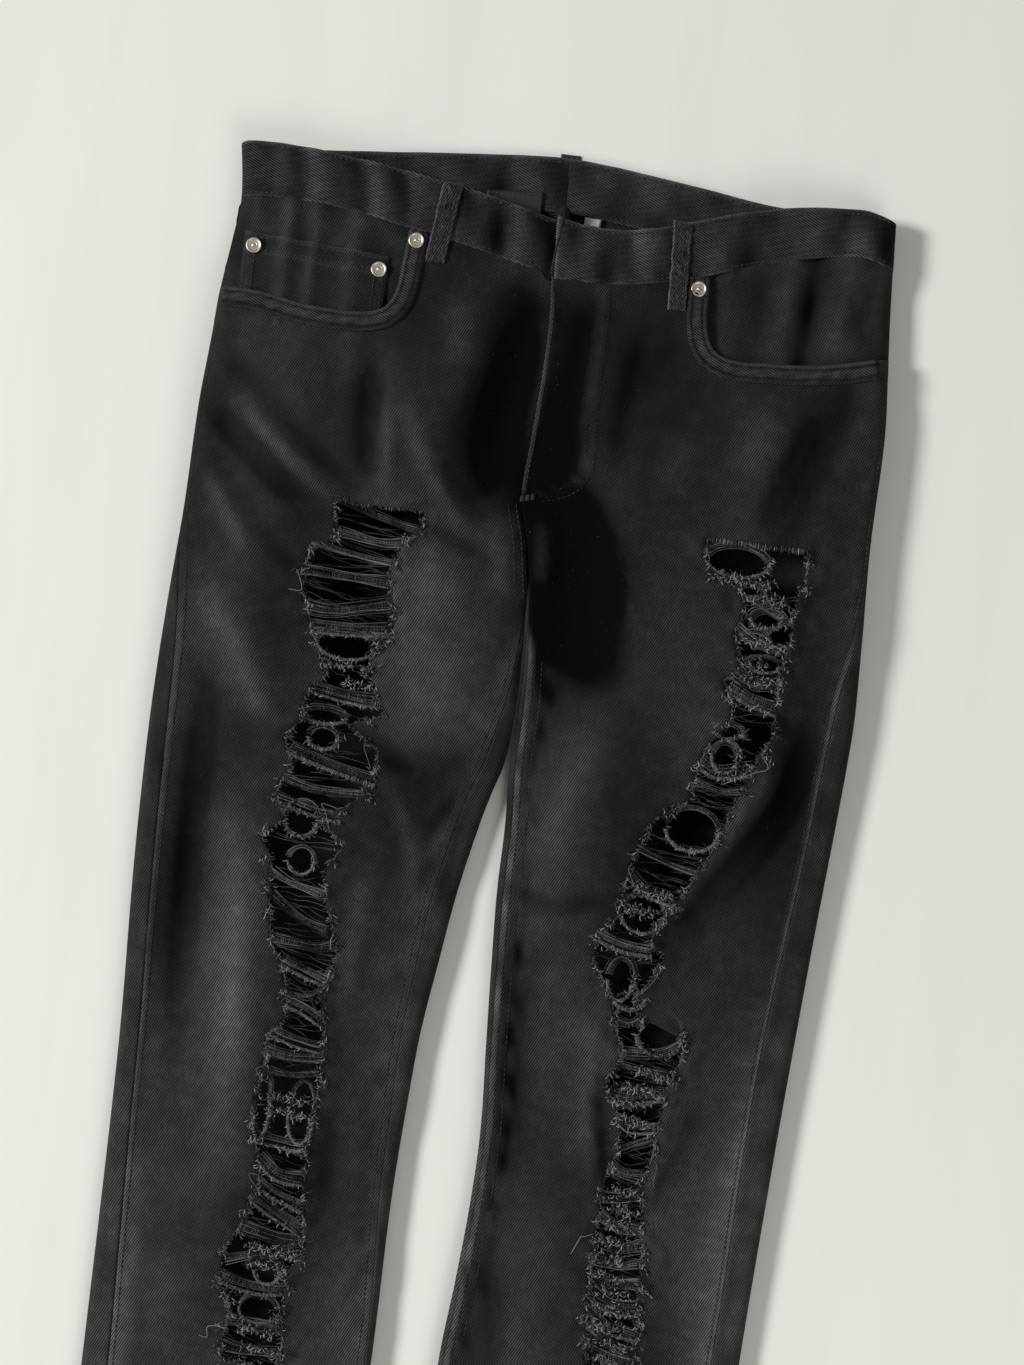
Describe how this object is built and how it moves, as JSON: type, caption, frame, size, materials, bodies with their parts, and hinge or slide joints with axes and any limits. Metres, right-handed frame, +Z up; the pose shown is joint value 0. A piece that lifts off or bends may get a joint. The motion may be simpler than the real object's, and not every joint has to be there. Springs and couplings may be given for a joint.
{
  "type": "ripped jeans",
  "caption": "Black ripped slim five-pocket jeans, lying flat on their back with the front up, closed fly, legs side by side.",
  "frame": {"origin": "middle of the garment's box, on the surface it lies on", "axes": "+X to the right of the garment as it lies with the front up (the wearer's left), +Y from the hems to the waist, +Z up through the cloth layers"},
  "size_m": [0.4572, 1.084, 0.0341],
  "materials": {
    "denim": "washed black cotton twill, matt, greyer on edges and seams",
    "pocket_denim": "black cotton twill, less worn, inside the pocket mouths",
    "rivet_metal": "pale champagne nickel, dished, slightly dulled",
    "patch_leather": "plain dark leather, semi-matt, bare",
    "label_ribbon": "plain white woven ribbon"
  },
  "bodies": {
    "root": {"front_left": "denim", "back_left": "denim", "back_yoke_left": "denim", "waistband_left": "denim", "pocket_facing_left": "pocket_denim", "back_pocket_left": "denim", "belt_loop_back_left": "denim", "belt_loop_front_left": "denim", "front_right": "denim", "back_right": "denim", "back_yoke_right": "denim", "waistband_right": "denim", "pocket_facing_right": "pocket_denim", "back_pocket_right": "denim", "belt_loop_back_right": "denim", "belt_loop_front_right": "denim", "coin_pocket": "pocket_denim", "belt_loop_centre_back": "denim", "rivet_coin_left": "rivet_metal", "rivet_coin_right": "rivet_metal", "rivet_pocket_left": "rivet_metal", "rivet_pocket_right": "rivet_metal", "patch_label": "patch_leather", "care_label": "label_ribbon"}
  },
  "joints": []
}
